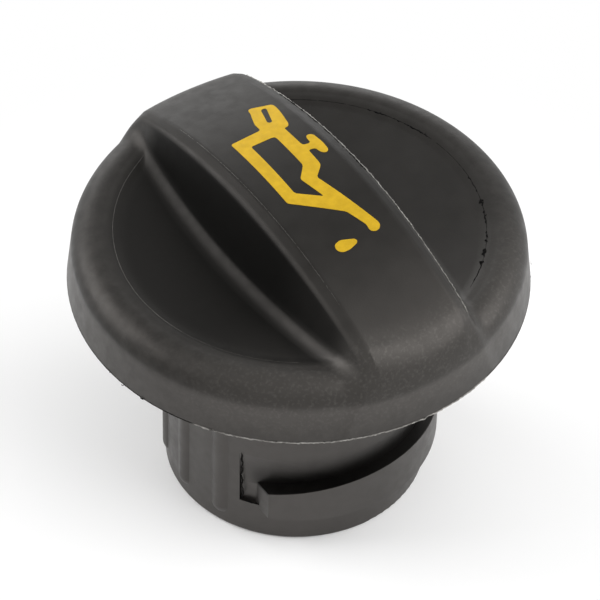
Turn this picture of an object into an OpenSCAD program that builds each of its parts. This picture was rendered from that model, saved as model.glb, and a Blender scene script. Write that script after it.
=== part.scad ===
// Oil filler cap: a moulded cap with a round head, an arched grip bar across it,
// a hollow plug with a bayonet lug on two sides, and a rubber ring under the head.
// The origin is on the axis at the plug's lower end, and the grip bar runs along Y.

/* [Head] */
// Radius of the head at its lower edge
head_r = 31; // [28.5:0.25:36]
// Height of the head's lower edge above the plug's lower end
head_z = 33.2; // [28:0.1:40]
// Lean of the skirt from upright, in degrees
skirt_draft = 6.4; // [1:0.2:8]
// Wall of the skirt
skirt_wall = 2.6; // [2:0.1:3]
// Height of the rim's crest above the head's lower edge
crest_h = 9.25; // [8.5:0.25:11]
// Radius of the rim's outer rounding
rim_round = 4.5; // [3:0.25:5]
// Radius at which the dished top meets the crest
dish_r = 26.2; // [25:0.2:26.4]
// Depth of the dished top at its middle, below the crest
dish_depth = 1.6; // [0.8:0.1:2.2]
// Wall of the top at its middle
top_wall = 2.4; // [1.8:0.1:3]
// Radius in the upper corner of the hollow under the head
hollow_round = 2; // [1:0.25:2.5]

/* [Grip] */
// Height of the grip's top above the head's lower edge
grip_h = 17.6; // [16:0.1:20]
// Radius of the arch along the grip
arch_r = 67; // [60:1:80]
// Half of the grip's width at its upper edges
grip_half_w = 8.7; // [7:0.1:9.5]
// Lean of the grip's side walls from upright, in degrees
grip_draft = 18; // [12:0.5:24]
// Radius of the side walls' bulge, seen from above
grip_bulge_r = 165; // [120:1:400]
// Width of the sloping band along each upper edge
bevel_w = 1.75; // [1:0.05:2.5]
// Fall of that band, from the grip's top to the edge
bevel_h = 0.75; // [0.4:0.05:1.2]
// Hollow rounding where the side walls meet the dished top
foot_round = 1.2; // [0.8:0.1:2]
// Rounding of the grip's two ends, down to the skirt
grip_end_round = 2.6; // [2:0.1:4]
// Wall left round the hollows in the grip
grip_wall = 2.6; // [2:0.1:3.2]

/* [Plug] */
// Outer radius of the plug
plug_r = 18; // [16:0.25:19.5]
// Wall of the plug at its lower end
plug_wall = 2.7; // [2.3:0.1:3.2]
// Lean of the plug's bore from upright, in degrees
bore_draft = 0.6; // [0:0.1:1]
// Rounding of the plug's lower outer edge
lead_round = 0.5; // [0.3:0.1:1.2]
// Height to which the plug's lower end is truly cylindrical
pilot_z = 1.8; // [1.6:0.1:1.8]
// Lean of the plug's outside above that, in degrees
plug_draft = 0.15; // [0.1:0.05:0.3]

/* [Lugs] */
// Outer radius of the two bayonet lugs
lug_r = 19.5; // [18.5:0.1:21]
// Reach of a lug to its trailing end, straight across
lug_tail_l = 13.6; // [9:0.1:14.4]
// Angle from the lug's middle to its leading end, in degrees
lug_lead_a = 57.5; // [30:0.5:58]
// Height of a lug's lower face above the plug's lower end
lug_z = 5.3; // [4:0.1:8]
// Height of a lug at its crown
lug_h = 6.45; // [4:0.05:7]
// Radius of a lug's crowned upper face
lug_crown_r = 83; // [60:1:110]
// Distance of the crown from the plug's middle, towards the leading end
lug_crown_x = 3; // [0:0.5:5]
// Reach of the relief round a lug, past its trailing end
relief_tail_l = 15.3; // [14.8:0.1:16]
// Reach of the relief past a lug's leading end
relief_lead_l = 15.6; // [15.4:0.1:15.8]
// Depth of the relief at its lower end
relief_depth = 0.6; // [0.3:0.1:1]
// Height of the relief's lower end above the lug's lower face
relief_lift = 0.6; // [0.3:0.1:1.5]
// Height over which the relief runs out into the plug
relief_h = 10; // [6:0.5:12]

/* [Ribs] */
// Number of ribs on each side of the plug
rib_count = 3; // [1:1:3]
// Angle between neighbouring ribs, in degrees
rib_pitch = 23; // [16:0.5:23]
// Turn of the ribs round the axis, in degrees
rib_turn = -1.3; // [-1.5:0.1:1.5]
// How far a rib stands out of the plug
rib_proud = 0.5; // [0.3:0.05:0.8]
// Width of a rib where it leaves the plug
rib_w = 2.5; // [1.8:0.1:3]
// Height of a rib's lower end above the plug's lower end
rib_z = 1.9; // [1.2:0.1:4]

/* [Seal] */
// Thickness of the sealing ring
seal_t = 2.4; // [1.6:0.1:3]
// Radial width of the sealing ring
seal_w = 3.3; // [2.5:0.1:4]
// Depth of the groove that holds the ring
groove_depth = 0.4; // [0.3:0.1:0.8]
// Height of the ring's seat above the head's lower edge
seat_h = 4; // [3.2:0.1:4.6]
// Clearance between the ring and its groove
seal_gap = 0.1; // [0.05:0.05:0.2]
// Rounding of the ring's edges, which keeps its flat clear of the ribs
seal_round = 0.9; // [0.85:0.05:1.1]
// Width of the seat left outside the ring
seat_margin = 0.4; // [0.2:0.1:0.8]

/* [Hidden] */

// Faces on a small and on a large circle
$fn = 96;
fine = 256;
// Overlap that lets a cut run past a face
past = 1;
// Depth by which a straight side runs into a rounding, so that they meet at a clear angle
join = 0.03;

// Dished top: a shallow sphere through the crest
dish_sphere_r = (dish_r * dish_r + dish_depth * dish_depth) / (2 * dish_depth);
dish_h = crest_h - dish_depth;
hollow_h = dish_h - top_wall;
function dish_at(r) = dish_h + dish_sphere_r - sqrt(dish_sphere_r * dish_sphere_r - r * r);
function skirt_r(h) = head_r - h * tan(skirt_draft);

// Grip: the arch is centred below the head, on the axis
arch_h = grip_h - arch_r;
// Half of the grip's width where its walls reach the dished top
foot_half_w = grip_half_w + (grip_h - bevel_h - dish_h) * tan(grip_draft);
// The hollow rounding starts a little below the dished top, to meet it at an angle
foot_sink = 0.12;
foot_run = foot_round * tan(45 - grip_draft / 2);
foot_h = dish_at(foot_half_w + foot_run) - foot_sink;
// The grip starts inside the wall of the head's top
grip_base_h = hollow_h + top_wall / 4;
// Its ends stand this much inside the skirt's surface
end_inset = 0.1;
// Slope with which the rounded ends start, in degrees, and the radius where they start
end_slope = 40;
end_start_r = 28;

// Plug
bore_r = plug_r - plug_wall;
bore_top_z = head_z + hollow_h;
function bore_at(z) = bore_r - z * tan(bore_draft);
function plug_at(z) = plug_r - (z - pilot_z) * tan(plug_draft);
groove_r = plug_r - groove_depth;
seat_z = head_z + seat_h;
seal_in_r = groove_r + seal_gap;
seal_out_r = seal_in_r + seal_w;
seat_r = seal_out_r + seat_margin;
// Lower end of the ring's groove; the ribs stop a little below it
groove_z = seat_z - seal_t - 2 * seal_gap;
rib_top_z = groove_z - 2 * seal_gap;

// Round profile of the head, from its lower edge up, without the grip
module head_profile() {
    rim_h = crest_h - rim_round;
    rim_x = skirt_r(rim_h) - rim_round;
    difference() {
        union() {
            polygon([[0, 0], [head_r, 0], [skirt_r(rim_h) - join, rim_h], [rim_x, rim_h], [rim_x, crest_h], [0, crest_h]]);
            translate([rim_x, rim_h]) circle(rim_round);
        }
        translate([0, dish_h + dish_sphere_r]) circle(dish_sphere_r, $fn = 4 * fine);
        hollow_profile();
    }
}

// Hollow under the head, with a rounded upper corner
module hollow_profile() {
    wall = skirt_wall / cos(skirt_draft);
    corner_h = hollow_h - hollow_round;
    corner_x = skirt_r(corner_h) - wall - hollow_round;
    polygon([
        [0, -past],
        [skirt_r(-past) - wall, -past],
        [skirt_r(corner_h) - wall - join, corner_h],
        [corner_x, corner_h],
        [corner_x, hollow_h],
        [0, hollow_h]
    ]);
    translate([corner_x, corner_h]) circle(hollow_round);
}

// Round profile of the plug, its ring groove and the ring's seat
module plug_profile() {
    top_z = bore_top_z + top_wall / 2;
    difference() {
        union() {
            polygon([
                [0, 0],
                [plug_r - lead_round, 0],
                [plug_r - lead_round, lead_round],
                [plug_r, lead_round],
                [plug_r, pilot_z],
                [plug_at(groove_z), groove_z],
                [groove_r, groove_z],
                [groove_r, seat_z],
                [seat_r, seat_z],
                [seat_r, top_z],
                [0, top_z]
            ]);
            translate([plug_r - lead_round, lead_round]) circle(lead_round);
        }
        polygon([
            [-past, -past],
            [bore_at(-past), -past],
            [bore_at(bore_top_z), bore_top_z],
            [-past, bore_top_z]
        ]);
    }
}

// Wheel whose rim is the grip's arch, with a sloping band along each edge, lying across the head
module arch_wheel() {
    side_w = 2 * grip_half_w;
    crest_w = grip_half_w - bevel_w;
    side_r = arch_r - bevel_h * (side_w - crest_w) / bevel_w;
    translate([0, 0, arch_h]) rotate([0, 90, 0]) rotate_extrude($fn = fine) polygon([
        [0, -side_w],
        [side_r, -side_w],
        [arch_r, -crest_w],
        [arch_r, crest_w],
        [side_r, side_w],
        [0, side_w]
    ]);
}

// Large disc whose edge is one leaning side wall of the grip, with its hollow foot
module side_wall() {
    foot_r = grip_bulge_r + (dish_h - foot_h) * tan(grip_draft);
    top_h = grip_h + 2 * past;
    translate([foot_half_w - grip_bulge_r, 0, 0]) rotate_extrude($fn = 2 * fine) difference() {
        polygon([
            [0, grip_base_h],
            [foot_r + foot_run, grip_base_h],
            [foot_r + foot_run, foot_h],
            [foot_r - foot_run * sin(grip_draft), foot_h + foot_run * cos(grip_draft)],
            [foot_r - (top_h - foot_h) * tan(grip_draft), top_h],
            [0, top_h]
        ]);
        translate([foot_r + foot_run, foot_h + foot_round]) circle(foot_round + join);
    }
}

// Dome that rounds the grip's ends down to the skirt
module end_dome() {
    top_h = grip_h + past;
    // The dome's slope meets the arch at the radius where the ends start
    start_h = arch_h + sqrt(arch_r * arch_r - end_start_r * end_start_r);
    centre_x = skirt_r(start_h / 2) - end_inset - grip_end_round;
    slope_h = start_h - (centre_x - end_start_r) * tan(end_slope);
    centre_h = slope_h - (grip_end_round - join) / cos(end_slope);
    rotate_extrude($fn = fine) intersection() {
        union() {
            polygon([
                [0, 0],
                [skirt_r(0) - end_inset, 0],
                [centre_x + grip_end_round - join, centre_h],
                [centre_x, centre_h],
                [centre_x + 2 * grip_end_round * sin(end_slope), centre_h + 2 * grip_end_round * cos(end_slope)],
                [centre_x, top_h],
                [0, top_h]
            ]);
            translate([centre_x, centre_h]) circle(grip_end_round);
        }
        polygon([
            [0, -past],
            [2 * head_r, -past],
            [2 * head_r, 0],
            [centre_x + slope_h / tan(end_slope), 0],
            [centre_x - (top_h + past - slope_h) / tan(end_slope), top_h + past],
            [0, top_h + past]
        ]);
    }
}

// The arched bar, solid
module grip() {
    translate([0, 0, head_z]) intersection() {
        arch_wheel();
        side_wall();
        mirror([1, 0, 0]) side_wall();
        end_dome();
    }
}

// Hollows that keep the grip's wall even: one above the bore, one behind each end
module grip_cores() {
    roof_r = arch_r - grip_wall;
    roof_w = grip_half_w + (grip_wall - bevel_h) * tan(grip_draft) - grip_wall / cos(grip_draft);
    rim_in_r = skirt_r(hollow_h) - skirt_wall / cos(skirt_draft) - hollow_round / 2;
    translate([0, 0, head_z]) intersection() {
        translate([0, 0, arch_h]) rotate([0, 90, 0]) rotate_extrude($fn = fine) polygon([
            [0, -roof_w - roof_r * tan(grip_draft)],
            [roof_r, -roof_w],
            [roof_r, roof_w],
            [0, roof_w + roof_r * tan(grip_draft)]
        ]);
        translate([0, 0, hollow_h - top_wall / 4]) difference() {
            cylinder(r = rim_in_r, h = grip_h, $fn = fine);
            difference() {
                translate([0, 0, -past]) cylinder(r = seat_r, h = grip_h + 2 * past, $fn = fine);
                translate([0, 0, -2 * past]) cylinder(r = bore_at(bore_top_z), h = grip_h + 4 * past);
            }
        }
    }
}

// A shallow relief in the plug round one lug, which runs out upwards
module lug_relief() {
    low_z = lug_z + relief_lift;
    intersection() {
        rotate_extrude() polygon([
            [plug_r - relief_depth, low_z],
            [plug_r + past, low_z],
            [plug_r + past, low_z + relief_h * (relief_depth + past) / relief_depth]
        ]);
        translate([-relief_tail_l, -plug_r - past, 0]) cube([relief_tail_l + relief_lead_l, plug_r, head_z]);
    }
}

// One bayonet lug: a ring piece with a crowned upper face, a straight end and a radial end
module lug() {
    intersection() {
        translate([0, 0, lug_z]) difference() {
            cylinder(r = lug_r, h = lug_h);
            translate([0, 0, -past]) cylinder(r = plug_r - plug_wall / 2, h = lug_h + 2 * past);
        }
        translate([-lug_tail_l, -lug_r - past, 0]) cube([lug_tail_l + lug_r + past, lug_r, head_z]);
        rotate([0, 0, lug_lead_a - 90]) translate([-lug_r - past, -lug_r - past, 0]) {
            cube([2 * (lug_r + past), lug_r + past, head_z]);
        }
        translate([lug_crown_x, 0, lug_z + lug_h - lug_crown_r]) rotate([90, 0, 0]) {
            cylinder(r = lug_crown_r, h = lug_r + past, $fn = fine);
        }
    }
}

// One low rib with a round lower end, standing at the given angle
module rib(angle) {
    half = rib_w / 2;
    rib_r = (half * half + rib_proud * rib_proud) / (2 * rib_proud);
    rotate([0, 0, angle]) translate([plug_r + rib_proud - rib_r, 0, rib_z + half]) {
        cylinder(r = rib_r, h = rib_top_z - rib_z - half);
        sphere(rib_r);
    }
}

module ribs() {
    intersection() {
        for (side = [0, 180], i = [0 : rib_count - 1]) rib(side + rib_turn + rib_pitch * (i - (rib_count - 1) / 2));
        difference() {
            cylinder(r = plug_r + past, h = seat_z);
            translate([0, 0, -past]) cylinder(r = plug_r - groove_depth / 2, h = seat_z + 2 * past);
        }
    }
}

// The whole moulding
module cap_body() {
    color("#2b2b2a") {
        difference() {
            union() {
                rotate_extrude($fn = fine) {
                    translate([0, head_z]) head_profile();
                    plug_profile();
                }
                grip();
                ribs();
            }
            grip_cores();
            for (side = [0, 1]) mirror([0, side, 0]) lug_relief();
        }
        for (side = [0, 1]) mirror([0, side, 0]) lug();
    }
}

// Rubber ring that seats on the filler neck
module seal_ring() {
    color("#1a1a1a") translate([0, 0, seat_z - seal_t]) rotate_extrude($fn = fine) {
        for (x = [seal_in_r + seal_round, seal_out_r - seal_round]) {
            translate([x, seal_round]) circle(seal_round);
        }
        translate([seal_in_r + seal_round, 0]) square([seal_w - 2 * seal_round, seal_t]);
        translate([seal_in_r, seal_round]) square([seal_w, seal_t - seal_round]);
    }
}

cap_body();
seal_ring();
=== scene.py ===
import math

import bpy
import numpy as np
from mathutils import Matrix, Vector
from mathutils.geometry import delaunay_2d_cdt


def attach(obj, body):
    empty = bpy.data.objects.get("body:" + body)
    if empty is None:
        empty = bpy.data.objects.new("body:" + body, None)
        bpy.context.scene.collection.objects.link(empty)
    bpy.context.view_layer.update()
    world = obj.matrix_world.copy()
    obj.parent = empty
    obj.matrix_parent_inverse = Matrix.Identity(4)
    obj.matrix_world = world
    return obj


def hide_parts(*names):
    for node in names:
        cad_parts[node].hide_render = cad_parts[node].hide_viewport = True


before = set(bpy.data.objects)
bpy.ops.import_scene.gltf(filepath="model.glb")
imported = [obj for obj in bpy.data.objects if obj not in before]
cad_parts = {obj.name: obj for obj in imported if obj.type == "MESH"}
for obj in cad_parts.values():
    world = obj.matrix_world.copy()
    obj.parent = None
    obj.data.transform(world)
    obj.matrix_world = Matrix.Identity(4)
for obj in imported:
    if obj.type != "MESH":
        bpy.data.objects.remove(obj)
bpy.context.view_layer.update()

# Sizes in millimetres. Most are those of the part's source, and the rim, the dish and the soft edges
# are this skin's own. Names that end in _H are heights above the head's lower edge.
MM = 0.001
PLUG_R = 18.0
HEAD_Z = 33.2
HEAD_R = 31.0
SKIRT_LEAN = math.radians(6.4)
LOWER_EDGE_SOFT = 0.25
CREST_H = 8.8
RIM_ROUND = 3.6

# The dished top is nearly flat out to the seam, and a soft valley joins it to the rim
SEAM_R = 24.75
DISH_H = 7.65
DISH_DEPTH = 0.7
VALLEY_SOFT = 0.8
VALLEY_REACH = 0.9

# The grip is an arch with a sloping band along each upper edge and drafted, slightly bulged walls
GRIP_TOP_H = 17.6
ARCH_R = 67.0
GRIP_HALF = 8.7
GRIP_LEAN = math.radians(18)
BULGE_R = 165.0
BAND_WIDTH = 1.75
BAND_DROP = 0.75
BAND_SOFT = 0.15
EDGE_SOFT = 0.4
END_SOFT = 2.6
END_INSET = 0.1
FOOT_SOFT = 1.6
FOOT_SOFT_LEAST = 0.15
FOOT_SOFT_SHARE = 0.6

DISH_SPHERE_R = (SEAM_R ** 2 + DISH_DEPTH ** 2) / (2 * DISH_DEPTH)
RIM_CENTRE_H = CREST_H - RIM_ROUND
RIM_CENTRE_R = HEAD_R - (RIM_ROUND + RIM_CENTRE_H * math.sin(SKIRT_LEAN)) / math.cos(SKIRT_LEAN)
BAND_TILT = math.atan2(BAND_DROP, BAND_WIDTH)
FOOT_HALF = GRIP_HALF + (GRIP_TOP_H - BAND_DROP - DISH_H) * math.tan(GRIP_LEAN)
BULGE_X = FOOT_HALF - BULGE_R


# Form of the head, as a signed distance in millimetres: below zero inside the plastic
def soft_max(a, b, r):
    """The greater of two distances, with a rounding of radius r where they cross."""
    return np.minimum(-r, np.maximum(a, b)) + np.hypot(np.maximum(r + a, 0), np.maximum(r + b, 0))


def soft_min(a, b, r):
    """The lesser of two distances, with a fillet of radius r where they cross."""
    return -soft_max(-a, -b, r)


def skirt_distance(r, h, inset=0.0):
    return (r - HEAD_R + inset) * math.cos(SKIRT_LEAN) + h * math.sin(SKIRT_LEAN)


def arch_top(y):
    """Height of the arch at y. The root stays real past the arch's ends."""
    return GRIP_TOP_H - ARCH_R + np.sqrt(np.maximum(ARCH_R ** 2 - y ** 2, 1))


def head_distance(x, y, h):
    r = np.hypot(x, y)
    across, up = r - RIM_CENTRE_R, h - RIM_CENTRE_H
    on_skirt = (np.arctan2(up, across) < SKIRT_LEAN) & (across > 0)
    rim = np.where(on_skirt, skirt_distance(r, h), np.hypot(across, up) - RIM_ROUND)
    dish = DISH_SPHERE_R - np.hypot(r, h - DISH_H - DISH_SPHERE_R)
    dish = soft_max(dish, across + VALLEY_REACH, VALLEY_SOFT)
    return soft_min(rim, dish, VALLEY_SOFT)


def grip_distance(x, y, h):
    arch = np.hypot(y, h - GRIP_TOP_H + ARCH_R) - ARCH_R
    band = (np.abs(x) - GRIP_HALF) * math.sin(BAND_TILT) + (arch + BAND_DROP) * math.cos(BAND_TILT)
    wall = np.hypot(np.abs(x) - BULGE_X, y) - BULGE_R - (DISH_H - h) * math.tan(GRIP_LEAN)
    end = skirt_distance(np.hypot(x, y), h, END_INSET)
    top = soft_max(soft_max(arch, band, BAND_SOFT), end, END_SOFT)
    return soft_max(top, wall * math.cos(GRIP_LEAN), EDGE_SOFT)


def distance(x, y, h):
    """The head with its grip. The fillet at the grip's foot shrinks where the arch comes down to the rim."""
    foot = np.clip(FOOT_SOFT_SHARE * (arch_top(y) - CREST_H), FOOT_SOFT_LEAST, FOOT_SOFT)
    return soft_min(head_distance(x, y, h), grip_distance(x, y, h), foot)


GRADIENT_STEP = 0.004


def gradient(p):
    """Unit normals of the form at the points p."""
    g = np.empty_like(p)
    for k in range(3):
        d = np.zeros(3)
        d[k] = GRADIENT_STEP
        g[:, k] = distance(*(p + d).T) - distance(*(p - d).T)
    return g / np.linalg.norm(g, axis=1, keepdims=True)


# The surface is found by halving: between two heights, or two distances from the rim's centre
HALVINGS = 36
TOP_SEARCH_H = (4.0, 20.0)
RIM_SEARCH = (2.0, 14.0)


def crossing(path, limits, count):
    """Where a family of paths leaves the plastic: path(t) gives the points for the parameters t."""
    a, b = np.full(count, limits[0]), np.full(count, limits[1])
    for _ in range(HALVINGS):
        t = (a + b) / 2
        inside = distance(*path(t).T) < 0
        a, b = np.where(inside, t, a), np.where(inside, b, t)
    return path((a + b) / 2)


def top_height(x, y):
    """Height of the upper surface above the head's lower edge."""
    return crossing(lambda t: np.column_stack([x, y, t]), TOP_SEARCH_H, len(x))[:, 2]


# Lines along the grip that the mesh follows: its middle, the inner border of the sloping band,
# the upper edge, the start of the foot's fillet and a line on the dish beside it
FOOT_LINE_ABOVE_DISH = 0.4
FILLET_START = 1.0
FILLET_FROM_EDGE = 0.35
FILLET_END = 1.3


def wall_half(y, h):
    """Half the grip's width at y, at the height h."""
    return BULGE_X + np.sqrt((BULGE_R + (DISH_H - h) * math.tan(GRIP_LEAN)) ** 2 - y ** 2)


def grip_lines(y):
    """Half-widths of the five lines at y."""
    edge = wall_half(y, arch_top(y) - BAND_DROP)
    foot = wall_half(y, DISH_H + FOOT_LINE_ABOVE_DISH)
    start = np.maximum(foot - FILLET_START, edge + FILLET_FROM_EDGE)
    return [0 * y, 0 * y + GRIP_HALF - BAND_WIDTH, edge, start, np.maximum(foot, start) + FILLET_END]


# Columns of the mesh between the lines, as shares of the way from one line to the next
SHARES = [(0, 0.12, 0.24, 0.36, 0.48, 0.6, 0.7, 0.8, 0.88, 0.94, 0.975),
          (0, 0.08, 0.2, 0.4, 0.6, 0.78, 0.88, 0.95),
          (0, 0.06, 0.14, 0.25, 0.4, 0.6, 0.8),
          (0, 0.12, 0.25, 0.38, 0.5, 0.62, 0.75, 0.88, 1)]
COLUMN_LINE = np.array([k for k, shares in enumerate(SHARES) for _ in shares])
COLUMN_SHARE = np.array([f for shares in SHARES for f in shares])
LAST = len(COLUMN_LINE) - 1
COLUMNS = np.arange(-LAST, LAST + 1)

# Rows across the grip, from -1 at its -Y end to 1 at its +Y end, and those between the ends as shares
ROWS = 160
ROW_PLACES = np.linspace(-1, 1, ROWS + 1)
BETWEEN = (ROW_PLACES[1:-1] + 1) / 2
# Steps outwards over the dished top, closer together near the rim
POCKET_STEPS = np.concatenate([np.linspace(0, 0.7, 13), np.linspace(0.73, 1, 16)])
# Rounds that bring points onto a circle and onto their columns at once
SETTLE = 12


def column_x(column, y):
    """x of each point, from its signed column number and its y."""
    lines = np.array(grip_lines(y))
    k = COLUMN_LINE[np.abs(column)]
    f = COLUMN_SHARE[np.abs(column)]
    i = np.arange(len(y))
    return np.sign(column) * (lines[k, i] * (1 - f) + lines[k + 1, i] * f)


def on_circle(column, side, r):
    """Points at the radius r on the grip's columns. side is 1 at the +Y end and -1 at the -Y end."""
    y = side * r
    for _ in range(SETTLE):
        x = column_x(column, y)
        y = side * np.sqrt(r ** 2 - x ** 2)
    return x, y


class Skin:
    """The head's outside: points with heights above the lower edge, and the faces between them."""

    def __init__(self):
        self.points = np.empty((0, 3))
        self.faces = []

    def add(self, x, y, h):
        """Adds points and gives their numbers."""
        first = len(self.points)
        self.points = np.concatenate([self.points, np.column_stack([x, y, h])])
        return first + np.arange(len(x))

    def sheet(self, index):
        """Faces between rows of point numbers. A number that comes twice in a face makes it a triangle."""
        for row, following in zip(index[:-1], index[1:]):
            for d, c, b, a in zip(row[:-1], row[1:], following[1:], following[:-1]):
                face = list(dict.fromkeys([a, b, c, d]))
                if len(face) > 2:
                    self.faces.append(face)


def add_bar(skin):
    """The grip and its feet: rows across the head, bent at the ends onto the rim's circle."""
    v, column = (a.ravel() for a in np.meshgrid(ROW_PLACES, COLUMNS, indexing="ij"))
    y = v * RIM_CENTRE_R
    for _ in range(SETTLE):
        x = column_x(column, y)
        y = v * np.sqrt(RIM_CENTRE_R ** 2 - x ** 2)
    bar = skin.add(x, y, top_height(x, y)).reshape(ROWS + 1, -1)
    skin.sheet(bar[:, ::-1])
    return bar


def add_pocket(skin, bar, side):
    """The dished top on one side of the grip, between its foot and the rim's circle."""
    column = -1 if side > 0 else 0
    bar_x, bar_y = (skin.points[bar, k] for k in (0, 1))
    corner = math.atan2(bar_x[0, -1], -bar_y[0, -1])
    turn = corner + (math.pi - 2 * corner) * BETWEEN
    f = POCKET_STEPS[1:, None]
    x = bar_x[1:-1, column] * (1 - f) + side * RIM_CENTRE_R * np.sin(turn) * f
    y = bar_y[1:-1, column] * (1 - f) - RIM_CENTRE_R * np.cos(turn) * f
    inner = skin.add(x.ravel(), y.ravel(), top_height(x.ravel(), y.ravel())).reshape(f.size, -1)
    index = np.empty((ROWS + 1, len(POCKET_STEPS)), int)
    index[:, 0] = bar[:, column]
    index[0], index[-1] = bar[0, column], bar[-1, column]
    index[1:-1, 1:] = inner.T
    skin.sheet(index[:, ::-side])
    return inner[-1]


def spread(r, share):
    """Angles from +Y beside the grip, from its corner at the +Y end to its corner at the -Y end."""
    x, y = on_circle(np.full(len(share), LAST), 1.0, r)
    corner = np.arctan2(x, y)
    return corner + (math.pi - 2 * corner) * share


def ring(r):
    """x and y of a loop round the head, from its radii: the +Y end of the grip, the right side,
    the -Y end and the left side."""
    end, side = len(COLUMNS), len(BETWEEN)
    back, right, front, left = np.split(r, [end, end + side, 2 * end + side])
    back_x, back_y = on_circle(COLUMNS, 1.0, back)
    front_x, front_y = on_circle(COLUMNS[::-1], -1.0, front)
    right_turn = spread(right, 1 - BETWEEN[::-1])
    left_turn = spread(left, 1 - BETWEEN)
    x = np.concatenate([back_x, right * np.sin(right_turn), front_x, -left * np.sin(left_turn)])
    y = np.concatenate([back_y, right * np.cos(right_turn), front_y, left * np.cos(left_turn)])
    return x, y


# Rings of the mesh: the angles above the level at which those of the rim and the lower edge face, and
# how many are on the skirt. The lip ends at LIP_R. The lower edge is SKIN_DROP lower than the CAD part's.
RIM_BENDS = np.radians(np.linspace(87, math.degrees(SKIRT_LEAN), 28))
SKIRT_RINGS = 8
LOWER_BENDS = np.radians([-15, -35, -55, -75, -90])
LIP_R = 30.2
SKIN_DROP = 0.004


def add_rim(skin, loop):
    """The rim and the skirt: rings outwards and down from the rim's circle."""
    rings = [loop]
    for bend in RIM_BENDS:
        def ray(t, bend=bend):
            x, y = ring(RIM_CENTRE_R + t * math.cos(bend))
            return np.column_stack([x, y, RIM_CENTRE_H + t * math.sin(bend)])
        rings.append(skin.add(*crossing(ray, RIM_SEARCH, len(loop)).T))
    skirt_start = RIM_CENTRE_H + RIM_ROUND * math.sin(SKIRT_LEAN)
    for h in np.linspace(skirt_start, LOWER_EDGE_SOFT, SKIRT_RINGS + 1)[1:]:
        r = np.full(len(loop), HEAD_R - h * math.tan(SKIRT_LEAN))
        rings.append(skin.add(*ring(r), np.full(len(loop), h)))
    return rings


def add_lower_edge(skin, count):
    """The small rounding under the skirt and a lip that closes it, with their normals."""
    soft = LOWER_EDGE_SOFT
    centre = HEAD_R - soft * (1 + math.sin(SKIRT_LEAN)) / math.cos(SKIRT_LEAN)
    steps = [(a, centre + soft * math.cos(a), soft + soft * math.sin(a)) for a in LOWER_BENDS]
    steps.append((-math.pi / 2, LIP_R, 0.0))
    rings, normals = [], []
    for bend, radius, h in steps:
        x, y = ring(np.full(count, radius))
        rings.append(skin.add(x, y, np.full(count, h - SKIN_DROP)))
        out = np.column_stack([x, y]) / radius * math.cos(bend)
        normals.append(np.column_stack([out, np.full(count, math.sin(bend))]))
    return rings, normals


def smooth_head():
    """The head's outside as points in the row frame, normals and faces."""
    skin = Skin()
    bar = add_bar(skin)
    right = add_pocket(skin, bar, 1)
    left = add_pocket(skin, bar, -1)
    loop = np.concatenate([bar[-1], right[::-1], bar[0, ::-1], left])
    rings = add_rim(skin, loop)
    upper_normals = gradient(skin.points)
    lower_rings, lower_normals = add_lower_edge(skin, len(loop))
    rings += lower_rings
    for inner, outer in zip(rings[:-1], rings[1:]):
        skin.sheet(np.array([np.append(outer, outer[0]), np.append(inner, inner[0])]))
    points = skin.points + [0, 0, HEAD_Z]
    return points, np.concatenate([upper_normals] + lower_normals), skin.faces


# A CAD face belongs to the head's outside where its centre is this far above the lower edge
# and less than this deep in the form
OUTSIDE_ABOVE, OUTSIDE_DEPTH = 0.02, 1.2


def cad_rest(node):
    """Points, corner normals and faces of a CAD node without the head's outside."""
    me = node.data
    co = np.empty(len(me.vertices) * 3)
    me.vertices.foreach_get("co", co)
    co = co.reshape(-1, 3) / MM
    faces, normals = [], []
    corner = [tuple(n.vector) for n in me.corner_normals]
    for f in me.polygons:
        x, y, z = co[list(f.vertices)].mean(axis=0)
        h = z - HEAD_Z
        if h > OUTSIDE_ABOVE and distance(*np.array([[x], [y], [h]]))[0] > -OUTSIDE_DEPTH:
            continue
        faces.append(list(f.vertices))
        normals.extend(corner[i] for i in f.loop_indices)
    return co, normals, faces


def make_object(name, points, faces, material):
    """A smooth-shaded piece of the body root, from points in millimetres."""
    me = bpy.data.meshes.new(name)
    me.from_pydata([tuple(p) for p in np.asarray(points) * MM], [], faces)
    me.materials.append(material)
    me.polygons.foreach_set("use_smooth", [True] * len(me.polygons))
    o = bpy.data.objects.new(name, me)
    bpy.context.scene.collection.objects.link(o)
    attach(o, "root")
    return o


# Materials
SHEEN_TINT = (1, 0.93, 0.875, 1)
MOTTLE_STOPS = (0.35, 0.7)
ROUGH_MOTTLE, ROUGH_DETAIL, ROUGH_STOPS = 2.3, 5.0, (0.3, 0.72)
GRAIN_SCALE, GRAIN_DETAIL, GRAIN_DEPTH = 5200, 2.0, 0.03


def plain(name, colour, rough, shine=0.5):
    m = bpy.data.materials.new(name)
    m.use_nodes = True
    b = m.node_tree.nodes["Principled BSDF"]
    b.inputs["Base Color"].default_value = (*colour, 1)
    b.inputs["Roughness"].default_value = rough
    b.inputs["Specular IOR Level"].default_value = shine
    b.inputs["Specular Tint"].default_value = SHEEN_TINT
    return m


def object_coordinates(tree):
    return tree.nodes.new("ShaderNodeTexCoord").outputs["Object"]


def noise(tree, scale, detail=3.0):
    """Noise in the object's own coordinates, with features of about 1 / scale metres."""
    n = tree.nodes.new("ShaderNodeTexNoise")
    n.inputs["Scale"].default_value = scale
    n.inputs["Detail"].default_value = detail
    tree.links.new(object_coordinates(tree), n.inputs["Vector"])
    return n.outputs["Fac"]


def ramp(tree, factor, stops, low, high):
    """From the colour low to the colour high as the factor goes from the first stop to the second."""
    r = tree.nodes.new("ShaderNodeValToRGB")
    for item, at, colour in zip(r.color_ramp.elements, stops, (low, high)):
        item.position = at
        item.color = (*colour, 1)
    tree.links.new(factor, r.inputs["Fac"])
    return r.outputs["Color"]


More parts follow.
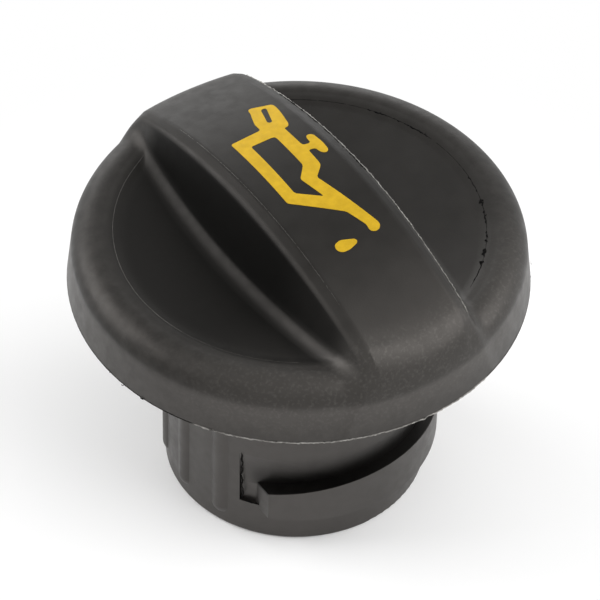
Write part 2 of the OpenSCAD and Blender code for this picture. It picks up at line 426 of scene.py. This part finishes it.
def textured(name, dark, light, rough, grain, mottle=260, shine=0.4):
    """Moulded material: mottled colour and roughness, and a fine grain as a bump."""
    m = plain(name, dark, rough[0], shine)
    t = m.node_tree
    b = t.nodes["Principled BSDF"]
    t.links.new(ramp(t, noise(t, mottle), MOTTLE_STOPS, dark, light), b.inputs["Base Color"])
    smooth, matt = ((value,) * 3 for value in rough)
    uneven = ramp(t, noise(t, mottle * ROUGH_MOTTLE, ROUGH_DETAIL), ROUGH_STOPS, smooth, matt)
    t.links.new(uneven, b.inputs["Roughness"])
    bump = t.nodes.new("ShaderNodeBump")
    bump.inputs["Strength"].default_value = grain
    bump.inputs["Distance"].default_value = GRAIN_DEPTH * MM
    t.links.new(noise(t, GRAIN_SCALE, GRAIN_DETAIL), bump.inputs["Height"])
    t.links.new(bump.outputs["Normal"], b.inputs["Normal"])
    return m


def calc(tree, how, a, b=0.0):
    """A math node on sockets or numbers."""
    n = tree.nodes.new("ShaderNodeMath")
    n.operation = how
    for socket, value in zip(n.inputs, (a, b)):
        if hasattr(value, "is_output"):
            tree.links.new(value, socket)
        else:
            socket.default_value = value
    return n.outputs[0]


def fade_in(tree, value, limits, unit=MM):
    """A mask that is 0 below the first limit and 1 above the second. Limits are in millimetres
    unless a unit is given."""
    m = tree.nodes.new("ShaderNodeMapRange")
    m.interpolation_type = "SMOOTHSTEP"
    m.inputs["From Min"].default_value = limits[0] * unit
    m.inputs["From Max"].default_value = limits[1] * unit
    tree.links.new(value, m.inputs["Value"])
    return m.outputs["Result"]


def inverse(tree, mask):
    return calc(tree, "SUBTRACT", 1.0, mask)


def overlap(tree, mask, *others):
    """The product of masks."""
    for other in others:
        mask = calc(tree, "MULTIPLY", mask, other)
    return mask


def blend_colour(tree, factor, a, b):
    """Colour a where factor is 0 and colour b where it is 1; either may be a socket."""
    m = tree.nodes.new("ShaderNodeMix")
    m.data_type = "RGBA"
    tree.links.new(factor, m.inputs[0])
    for socket, value in ((m.inputs[6], a), (m.inputs[7], b)):
        if hasattr(value, "is_output"):
            tree.links.new(value, socket)
        else:
            socket.default_value = (*value, 1)
    return m.outputs[2]


# Where the black plastic changes tone, in millimetres in the row frame. Distances from the axis:
DISH_FADE, RIM_FADE, PLUG_WALL_FADE = (22.5, 26.0), (23.5, 28.5), (19.3, 19.5)
# Heights above the plug's lower end:
HIGH_FADE, PLUG_TOP_FADE, FRONT_UP_FADE = (38.0, 39.5), (32.5, 33.4), (33.5, 38.0)
# Distances to the left of the axis, to the front of it, and to the front or back of it:
LEFT_FADE, FRONT_FADE, LUG_END_FADE = (8.2, 8.9), (8.0, 24.0), (9.5, 12.0)
# Painted shade above the lugs' upper faces, which are crowned about a point beside the axis:
SHADE_FADE, SHADE_START = (0.0, 6.0), (-0.6, -0.2)
LUG_CROWN_X, LUG_CROWN_R, LUG_CROWN_Z = 3.0, 83.0, 11.75
# How far a wall faces sideways, as the x of its normal:
STEEP_FADE = (0.8, 0.96)

BLACK_DARK, BLACK_LIGHT = (0.006, 0.0058, 0.0053), (0.0095, 0.0092, 0.0084)
DUST_DARK, DUST_LIGHT = (0.009, 0.0086, 0.0079), (0.017, 0.0162, 0.015)
DUST_SCALE, DUST_DETAIL, DUST_STOPS = 700, 6.0, (0.38, 0.62)
FRONT_DUST, FRONT_DUST_SHARE = (0.026, 0.0245, 0.0225), 0.6
SPECK, SPECK_SHARE, FRONT_SPECK_SHARE = (0.075, 0.071, 0.066), 0.06, 0.3
SPECK_SCALE, SPECK_DETAIL, SPECK_STOPS = 2200, 8.0, (0.5, 0.72)
# Painted shade tones: the left pocket, the grip's steep walls, the plug under the head and the wall above
# the lugs
POCKET_SHADE_BLACK = (0.0025, 0.0025, 0.0022)
WALL_SHADE_BLACK = (0.002, 0.002, 0.0018)
PLUG_SHADE_BLACK = (0.005, 0.0047, 0.0043)
SHADE_BLACK = (0.0015, 0.0014, 0.0013)
BLACK_ROUGH, BLACK_GRAIN, BLACK_SHINE = (0.36, 0.48), 0.35, 0.19


def above_lugs(t, x, y, z, r):
    """Mask of the painted shade on the wall above the near lug, where the photo shows the wall darker, and
    the same above the far one.
    """
    from_crown = calc(t, "SUBTRACT", x, LUG_CROWN_X * MM)
    fall = calc(t, "DIVIDE", calc(t, "MULTIPLY", from_crown, from_crown), 2 * LUG_CROWN_R * MM)
    above = calc(t, "SUBTRACT", calc(t, "ADD", z, fall), LUG_CROWN_Z * MM)
    along_lug = fade_in(t, calc(t, "ABSOLUTE", y), LUG_END_FADE)
    on_wall = inverse(t, fade_in(t, r, PLUG_WALL_FADE))
    start, end = fade_in(t, above, SHADE_START), inverse(t, fade_in(t, above, SHADE_FADE))
    return overlap(t, end, start, on_wall, along_lug)


def dusty(t, front):
    """Greyer plastic with fine specks, more of both towards the front."""
    dust = ramp(t, noise(t, DUST_SCALE, DUST_DETAIL), DUST_STOPS, DUST_DARK, DUST_LIGHT)
    dust = blend_colour(t, calc(t, "MULTIPLY", front, FRONT_DUST_SHARE), dust, FRONT_DUST)
    specks = ramp(t, noise(t, SPECK_SCALE, SPECK_DETAIL), SPECK_STOPS, (0, 0, 0), (1, 1, 1))
    share = calc(t, "ADD", SPECK_SHARE, calc(t, "MULTIPLY", front, FRONT_SPECK_SHARE))
    return blend_colour(t, calc(t, "MULTIPLY", specks, share), dust, SPECK)


def moulded_black():
    """Black plastic: greyer with dust on the rim and the skirt. Painted shade makes it darkest in the left
    pocket beside the grip, on the grip's steep walls and above each lug, and darker on the plug under the
    head."""
    m = textured("black_plastic", BLACK_DARK, BLACK_LIGHT, BLACK_ROUGH, BLACK_GRAIN)
    t = m.node_tree
    b = t.nodes["Principled BSDF"]
    clean = b.inputs["Base Color"].links[0].from_socket
    where = t.nodes.new("ShaderNodeTexCoord")
    place = t.nodes.new("ShaderNodeSeparateXYZ")
    t.links.new(where.outputs["Object"], place.inputs["Vector"])
    facing = t.nodes.new("ShaderNodeSeparateXYZ")
    t.links.new(where.outputs["Normal"], facing.inputs["Vector"])
    x, y, z = place.outputs
    r = calc(t, "SQRT", calc(t, "ADD", calc(t, "MULTIPLY", x, x), calc(t, "MULTIPLY", y, y)))

    inner = inverse(t, fade_in(t, r, DISH_FADE))
    outer = fade_in(t, r, RIM_FADE)
    high = fade_in(t, z, HIGH_FADE)
    low = inverse(t, high)
    worn = calc(t, "MAXIMUM", outer, low)
    # Painted shade in the left pocket beside the grip, with a little less shine there
    pocket = overlap(t, fade_in(t, calc(t, "MULTIPLY", x, -1.0), LEFT_FADE), inner, high)
    front = overlap(t, fade_in(t, calc(t, "MULTIPLY", y, -1.0), FRONT_FADE), fade_in(t, z, FRONT_UP_FADE))
    # Painted shade on the grip's steep walls, with a little less shine there
    steep = fade_in(t, calc(t, "ABSOLUTE", facing.outputs["X"]), STEEP_FADE, 1)
    wall = overlap(t, steep, high, inner)
    # Painted shade on the plug under the head, in place of the dust; the plug is also given more shine
    plug = inverse(t, fade_in(t, z, PLUG_TOP_FADE))
    shade = above_lugs(t, x, y, z, r)

    colour = clean
    for mask, tone in ((worn, dusty(t, front)), (pocket, POCKET_SHADE_BLACK), (wall, WALL_SHADE_BLACK),
                       (plug, PLUG_SHADE_BLACK), (shade, SHADE_BLACK)):
        colour = blend_colour(t, mask, colour, tone)
    t.links.new(colour, b.inputs["Base Color"])
    shine = BLACK_SHINE
    for mask, change in ((pocket, -0.07), (shade, -0.6), (outer, 0.06), (front, 0.15), (low, 0.38),
                         (plug, 0.25), (wall, -0.06)):
        shine = calc(t, "ADD", shine, calc(t, "MULTIPLY", mask, change))
    t.links.new(shine, b.inputs["Specular IOR Level"])
    return m


black = moulded_black()
# Darkest and lightest colour, least and greatest roughness, and the strength of the grain
rubber = textured("rubber", (0.012, 0.012, 0.012), (0.02, 0.02, 0.019), (0.62, 0.78), 0.3)
paint = textured("yellow_paint", (0.45, 0.28, 0.006), (0.53, 0.33, 0.009), (0.5, 0.65), 0.5, mottle=900,
                 shine=0.25)
torn = textured("torn_plastic", (0.004, 0.004, 0.004), (0.006, 0.006, 0.006), (0.8, 0.9), 0.2, shine=0.05)
seam = textured("seam_plastic", (0.03, 0.029, 0.027), (0.07, 0.068, 0.064), (0.3, 0.45), 0.2, mottle=1500)
# Light grey flash; on the grip's right upper edge it is also a painted highlight
flash = textured("flash_plastic", (0.12, 0.116, 0.108), (0.34, 0.33, 0.31), (0.3, 0.45), 0.2, mottle=1500)


def moulding():
    """The smooth outside and the rest of the CAD part as one piece."""
    skin, skin_normals, skin_faces = smooth_head()
    rest, rest_normals, rest_faces = cad_rest(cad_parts["cap_body"])
    used = sorted({i for f in rest_faces for i in f})
    number = {old: len(skin) + new for new, old in enumerate(used)}
    faces = skin_faces + [[number[i] for i in f] for f in rest_faces]
    body = make_object("cap_moulding", np.concatenate([skin, rest[used]]), faces, black)
    corner_normals = [tuple(skin_normals[i]) for f in skin_faces for i in f] + rest_normals
    body.data.normals_split_custom_set(corner_normals)
    return body


body = moulding()
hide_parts("cap_body")
ring_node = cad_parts["seal_ring"]
ring_node.data.materials.clear()
ring_node.data.materials.append(rubber)

# Thin lines on the moulding: flash, seams and torn places. Sizes are in millimetres, angles in degrees.
BEAD_STEP, BEAD_LEAST, BEAD_SIDES, BEAD_SWELL, BEAD_TAPER = 0.25, 4, 6, 0.8, 3
BEAD_REFERENCE = [0.1, 0.2, 1.0]
ARC_STEP, ARC_LEAST = 1.0, 3


def line(name, points, radius, material, ragged, seed):
    """A thin bead through points in the row frame, that tapers over its first and last few steps."""
    p = np.array(points, float)
    step = np.linalg.norm(np.diff(p, axis=0), axis=1)
    along = np.concatenate([[0], np.cumsum(step)])
    count = max(BEAD_LEAST, int(along[-1] / BEAD_STEP))
    at = np.linspace(0, along[-1], count)
    p = np.column_stack([np.interp(at, along, p[:, k]) for k in range(3)])
    draw = np.random.default_rng(seed)
    p += draw.normal(0, ragged * radius, p.shape)
    size = radius * (1 + ragged * draw.uniform(-BEAD_SWELL, BEAD_SWELL, count))
    from_start = np.arange(count)
    size *= np.minimum(1, np.minimum(from_start, from_start[::-1]) / BEAD_TAPER)
    ahead = np.gradient(p, axis=0)
    ahead /= np.linalg.norm(ahead, axis=1, keepdims=True)
    across = np.cross(ahead, BEAD_REFERENCE)
    across /= np.linalg.norm(across, axis=1, keepdims=True)
    up = np.cross(across, ahead)
    turn = np.arange(BEAD_SIDES) * 2 * math.pi / BEAD_SIDES
    spokes = np.cos(turn)[None, :, None] * across[:, None] + np.sin(turn)[None, :, None] * up[:, None]
    tube = p[:, None] + spokes * size[:, None, None]
    faces = []
    for i in range(count - 1):
        for k in range(BEAD_SIDES):
            a, b = i * BEAD_SIDES + k, i * BEAD_SIDES + (k + 1) % BEAD_SIDES
            faces.append([a, b, b + BEAD_SIDES, a + BEAD_SIDES])
    make_object(name, tube.reshape(-1, 3), faces, material)


def on_top(points, lift):
    """Points (x, y) set on the head's upper surface."""
    p = np.array(points, float)
    return np.column_stack([p, top_height(p[:, 0], p[:, 1]) + HEAD_Z + lift])


def arc(radius, start, end):
    """Points (x, y) on a circle between two angles, from +X towards +Y."""
    t = np.radians(np.linspace(start, end, max(ARC_LEAST, int(abs(end - start) / ARC_STEP))))
    return np.column_stack([radius * np.cos(t), radius * np.sin(t)])


def round_line(name, radius, height, start, end, bead, material, ragged, seed):
    """A bead round the axis, at a height above the plug's lower end."""
    xy = arc(radius, start, end)
    line(name, np.column_stack([xy, np.full(len(xy), height)]), bead, material, ragged, seed)


# The seam round the dished top: start and end angle, lift, bead radius, material and raggedness
SEAMS = {"seam_left": (114, 200, 0.0, 0.04, seam, 0.15),
         "seam_left_front": (198, 238, -0.012, 0.024, seam, 0.3),
         "seam_right_back": (64, 10, -0.01, 0.035, torn, 0.3),
         "seam_right": (10, -60, -0.01, 0.035, torn, 0.3)}
for i, (name, (start, end, lift, bead, material, ragged)) in enumerate(SEAMS.items()):
    line(name, on_top(arc(SEAM_R, start, end), lift), bead, material, ragged, 1 + i)

# Torn places on the seam: middle angle, half its length as an angle, and bead radius
TORN = [(23, 13, 0.1), (-13, 5, 0.09), (-21, 2.5, 0.26), (-25.5, 2.5, 0.22), (-29, 3, 0.1),
        (-37, 3.5, 0.14), (-43, 3, 0.22), (-47.5, 2.5, 0.17), (-53, 5, 0.07)]
TORN_SUNK = 0.45
for i, (middle, half, bead) in enumerate(TORN):
    path = on_top(arc(SEAM_R, middle + half, middle - half), -bead * TORN_SUNK)
    line("torn_seam_%d" % (i + 1), path, bead, torn, 0.5, 10 + i)

# Lines along the grip: the flash on its right upper edge, which is also a painted highlight, a painted
# shadow line beside that, and a fine left line
EDGE_BACK_Y, EDGE_FRONT_Y, EDGE_POINTS = 26.5, -27.0, 90
FLASH_IN, SHADOW_IN = 0.04, 0.33
edge_y = np.linspace(EDGE_BACK_Y, EDGE_FRONT_Y, EDGE_POINTS)
edge_x = grip_lines(edge_y)[2]
band_x = np.full(EDGE_POINTS, BAND_WIDTH - GRIP_HALF)


def along_grip(name, x, first, last, lift, bead, material, ragged, seed):
    """A bead through the points first to last of those at edge_y."""
    xy = np.column_stack([x, edge_y])[first:last]
    line(name, on_top(xy, lift), bead, material, ragged, seed)


# Light flash on the right upper edge, also a painted highlight along that edge
along_grip("edge_flash_highlight_right", edge_x - FLASH_IN, 0, EDGE_POINTS, 0.035, 0.095, flash, 0.35, 20)
# A dark bead beside it as painted shadow
along_grip("edge_shadow_right", edge_x - SHADOW_IN, 14, 50, -0.01, 0.055, torn, 0.5, 22)
along_grip("edge_line_left", band_x, 12, 78, -0.01, 0.026, seam, 0.5, 21)

# Flash along the front of the skirt's lower edge
FLASH_R, FLASH_Z, FLASH_ANGLES = HEAD_R - 0.05, HEAD_Z + 0.02, (-150, -70)
round_line("edge_flash_lower", FLASH_R, FLASH_Z, *FLASH_ANGLES, 0.1, flash, 0.3, 30)

# Nicks: two stretches of the edge with the number of nicks in each, half a nick's angle, and its bead
NICK_R, NICK_Z = HEAD_R + 0.02, HEAD_Z + 0.1
NICK_STRETCHES, NICK_HALF, NICK_BEAD = [(180, 232, 13), (-35, 20, 7)], (0.25, 1.0), (0.07, 0.16)
rng = np.random.default_rng(31)
for i, middle in enumerate(np.concatenate([rng.uniform(*stretch) for stretch in NICK_STRETCHES])):
    half, bead = rng.uniform(*NICK_HALF), rng.uniform(*NICK_BEAD)
    material = torn if i % 2 else black
    round_line("edge_nick_%d" % (i + 1), NICK_R, NICK_Z, middle - half, middle + half,
               bead, material, 0.8, 40 + i)

# Torn flash at the border of the relief beside the near lug: down its side and along its foot
CRACK_ANGLE, CRACK_TURN, CRACK_TOP_Z, CRACK_LOW_Z = -147.3, 9.5, 15.5, 6.0
CRACK_POINTS, CRACK_WANDER, FOOT_SUNK = 14, 0.4, 0.05
crack_z = np.linspace(CRACK_TOP_Z, CRACK_LOW_Z, CRACK_POINTS)
crack_turn = np.radians(CRACK_ANGLE + rng.normal(0, CRACK_WANDER, CRACK_POINTS))
crack = np.column_stack([PLUG_R * np.cos(crack_turn), PLUG_R * np.sin(crack_turn), crack_z])
line("torn_relief_side", crack, 0.095, torn, 0.4, 70)
round_line("torn_relief_foot", PLUG_R - FOOT_SUNK, CRACK_LOW_Z, CRACK_ANGLE, CRACK_ANGLE + CRACK_TURN,
           0.08, torn, 0.5, 71)

# Sign on the grip: an oil can with a drop, printed on the arch, as outlines (x, y) in millimetres
CAN = [(2.64, 16.5), (5.5, 15.4), (5.6, 14.6), (5.36, 13.0), (4.75, 10.2), (4.3, 9.65), (3.74, 9.8),
       (3.7, 5.5), (3.95, 5.2), (4.87, 5.05), (5.0, 6.4), (5.45, 6.75), (6.1, 6.35), (6.25, 4.2),
       (6.12, 2.75), (5.8, 2.35), (5.3, 2.35), (4.9, 2.9), (4.8, 3.8), (3.8, 4.0), (3.64, 0.95),
       (3.4, 0.5), (1.85, -1.0), (4.62, -11.5), (4.4, -12.15), (3.8, -12.5), (3.2, -12.45),
       (2.8, -12.0), (2.95, -11.05), (1.81, -8.0), (-4.1, -3.05), (-3.88, 10.94), (1.0, 11.23),
       (1.09, 12.79), (1.75, 14.6), (2.15, 15.5), (2.2, 16.2)]
CAN_BODY = [(-2.03, 8.94), (-0.45, 8.94), (1.4, 8.95), (1.75, 8.69), (1.58, 1.92), (0.86, 1.05),
            (-0.2, -0.17), (0.76, -4.39), (-2.28, -1.98)]
CAN_MOUTH = [(3.62, 15.3), (4.45, 15.2), (3.27, 11.8), (2.62, 12.03)]
DROP = [(-2.57, -11.83), (-1.53, -11.55), (0.45, -12.3), (0.39, -12.88), (-1.16, -13.39), (-2.29, -13.35),
        (-2.85, -12.68)]
# The paint reaches PAINT_T above and below the grip's surface. The points of its top face are a step
# apart, and the grid's start keeps them off the outlines' straight borders.
PAINT_T, CORNER_CUT, PAINT_STEP = 0.035, 0.22, 0.7
GRID_START = np.array([0.13, 0.17])
MERGE_WITHIN = 1e-5


def rounded(outline):
    """An outline with each corner cut twice, by a set length, so that it reads as round."""
    p = [np.array(q) for q in outline]
    for cut in (CORNER_CUT, CORNER_CUT / 3):
        q = []
        for a, b, c in zip(p[-1:] + p[:-1], p, p[1:] + p[:1]):
            for end in (a, c):
                span = np.linalg.norm(end - b)
                q.append(b + (end - b) * min(cut, span / 3) / span)
        p = q
    return p


def borders(outlines):
    """Points along closed outlines, less than two paint steps apart, and the edges between them."""
    points, edges = [], []
    for corners in outlines:
        border = []
        for a, b in zip(corners, corners[1:] + corners[:1]):
            n = max(1, int(np.linalg.norm(b - a) / PAINT_STEP))
            border += [a + (b - a) * i / n for i in range(n)]
        first = len(points)
        edges += [(first + i, first + (i + 1) % len(border)) for i in range(len(border))]
        points += border
    return points, edges


def encloses(points, edges, x, y):
    """Whether a ray from (x, y) crosses the edges an odd number of times."""
    crossings = 0
    for a, b in edges:
        p, q = points[a], points[b]
        if (p[1] > y) != (q[1] > y) and x < p[0] + (y - p[1]) / (q[1] - p[1]) * (q[0] - p[0]):
            crossings += 1
    return crossings % 2 == 1


def printed(name, outline, holes=()):
    """A thin layer of paint on the grip: its top face and its edge."""
    points, edges = borders([rounded(o) for o in (outline, *holes)])
    least, most = np.min(points, axis=0), np.max(points, axis=0)
    grid = [np.array([x, y]) + GRID_START for x in np.arange(least[0], most[0], PAINT_STEP)
            for y in np.arange(least[1], most[1], PAINT_STEP)]
    flat = [Vector(p) for p in points + grid]
    v, _, triangles, origin, _, _ = delaunay_2d_cdt(flat, edges, [], 0, MERGE_WITHIN)
    inside = []
    for tri in triangles:
        c = sum((v[i] for i in tri), Vector((0, 0))) / 3
        if encloses(points, edges, c.x, c.y):
            inside.append(list(tri))
    xy = np.array([list(p) for p in v])
    z = top_height(xy[:, 0], xy[:, 1]) + HEAD_Z
    number = {old: new for new, group in enumerate(origin) for old in group}
    count = len(xy)
    upper = np.column_stack([xy, z + PAINT_T])
    lower = np.column_stack([xy, z - PAINT_T])
    sides = [[number[a], number[b], number[b] + count, number[a] + count] for a, b in edges]
    o = make_object(name, np.concatenate([upper, lower]), inside + sides, paint)
    o.data.polygons.foreach_set("use_smooth", [False] * len(o.data.polygons))


printed("sign_oil_can", CAN, (CAN_BODY, CAN_MOUTH))
printed("sign_drop", DROP)

# Camera, found from the ellipses of the head's lower edge and the plug's lower edge. The aim's offset
# from the photo's middle is in its pixels, lens and sensor are in millimetres, and the rest is in metres.
AIM = Vector((0, 0, HEAD_Z * MM))
AZIMUTH, ELEVATION, ROLL = math.radians(-34.2), math.radians(45.2), math.radians(1.29)
DISTANCE = 0.6
PHOTO_PIXELS, AIM_PIXELS = 600, (-1.2, 27.4)
LENS, SENSOR = 269.3, 36.0
CLIP = (0.05, 20)


def photo_camera():
    data = bpy.data.cameras.new("camera")
    data.sensor_width = SENSOR
    data.sensor_fit = "HORIZONTAL"
    data.lens = LENS
    data.clip_start, data.clip_end = CLIP
    data.shift_x, data.shift_y = (-offset / PHOTO_PIXELS for offset in AIM_PIXELS)
    cam = bpy.data.objects.new("camera", data)
    bpy.context.scene.collection.objects.link(cam)
    level = math.cos(ELEVATION)
    back = Vector((math.sin(AZIMUTH) * level, -math.cos(AZIMUTH) * level, math.sin(ELEVATION)))
    turn = (-back).to_track_quat("-Z", "Y").to_matrix().to_4x4()
    cam.matrix_world = Matrix.Translation(AIM + back * DISTANCE) @ turn @ Matrix.Rotation(ROLL, 4, "Z")
    bpy.context.scene.camera = cam


photo_camera()

# Floor and light. The floor's size is in metres, and it fades out between two distances in millimetres.
FLOOR_SIZE, FLOOR_TONE, FLOOR_ROUGH = 6, (0.95, 0.95, 0.95), 0.9
FLOOR_FADE = (15.0, 80.0)
WORLD_LIGHT = 0.5


def seen_as_background(tree):
    """1 for camera, glossy and transmission rays, else 0."""
    path = tree.nodes.new("ShaderNodeLightPath")
    direct = calc(tree, "MAXIMUM", path.outputs["Is Camera Ray"], path.outputs["Is Glossy Ray"])
    return calc(tree, "MAXIMUM", direct, path.outputs["Is Transmission Ray"])


def mix_shaders(tree, factor, a, b, output):
    """Shader a where factor is 0 and shader b where it is 1."""
    mix = tree.nodes.new("ShaderNodeMixShader")
    tree.links.new(factor, mix.inputs["Fac"])
    tree.links.new(a, mix.inputs[1])
    tree.links.new(b, mix.inputs[2])
    tree.links.new(mix.outputs["Shader"], tree.nodes[output].inputs["Surface"])


def pale_floor():
    """A pale floor that keeps the shadow near the cap and runs out into the white background."""
    m = plain("floor", FLOOR_TONE, FLOOR_ROUGH)
    t = m.node_tree
    from_axis = t.nodes.new("ShaderNodeVectorMath")
    from_axis.operation = "LENGTH"
    t.links.new(object_coordinates(t), from_axis.inputs[0])
    white = t.nodes.new("ShaderNodeEmission")
    fade = calc(t, "MULTIPLY", fade_in(t, from_axis.outputs["Value"], FLOOR_FADE), seen_as_background(t))
    floor_shader = t.nodes["Principled BSDF"].outputs["BSDF"]
    mix_shaders(t, fade, floor_shader, white.outputs["Emission"], "Material Output")
    return m


bpy.ops.mesh.primitive_plane_add(size=FLOOR_SIZE, location=(0, 0, 0))
floor = bpy.context.object
floor.name = "floor"
floor.data.materials.append(pale_floor())


def area(name, place, size, power):
    """A soft lamp that faces the head. Its place and size are in metres and its power in watts."""
    lamp = bpy.data.lights.new(name, "AREA")
    lamp.shape = "RECTANGLE"
    lamp.size, lamp.size_y = size
    lamp.energy = power
    o = bpy.data.objects.new(name, lamp)
    bpy.context.scene.collection.objects.link(o)
    o.location = place
    o.rotation_mode = "QUATERNION"
    o.rotation_quaternion = (AIM - Vector(place)).to_track_quat("-Z", "Y")


area("back_left", (-0.6, 0.65, 0.5), (0.8, 0.8), 9)
area("back_right", (0.35, 0.85, 0.25), (0.9, 0.4), 2)
area("front", (0.8, -0.8, 0.93), (1.6, 1.6), 24)


def white_world():
    """White to camera, glossy and transmission rays, and a softer light to all others."""
    world = bpy.data.worlds.new("world")
    bpy.context.scene.world = world
    world.use_nodes = True
    tree = world.node_tree
    seen, light = tree.nodes["Background"], tree.nodes.new("ShaderNodeBackground")
    for background, strength in ((seen, 1.0), (light, WORLD_LIGHT)):
        background.inputs["Color"].default_value = (1, 1, 1, 1)
        background.inputs["Strength"].default_value = strength
    mix_shaders(tree, seen_as_background(tree), light.outputs["Background"], seen.outputs["Background"],
                "World Output")


white_world()
bpy.context.scene.view_settings.view_transform = "Standard"
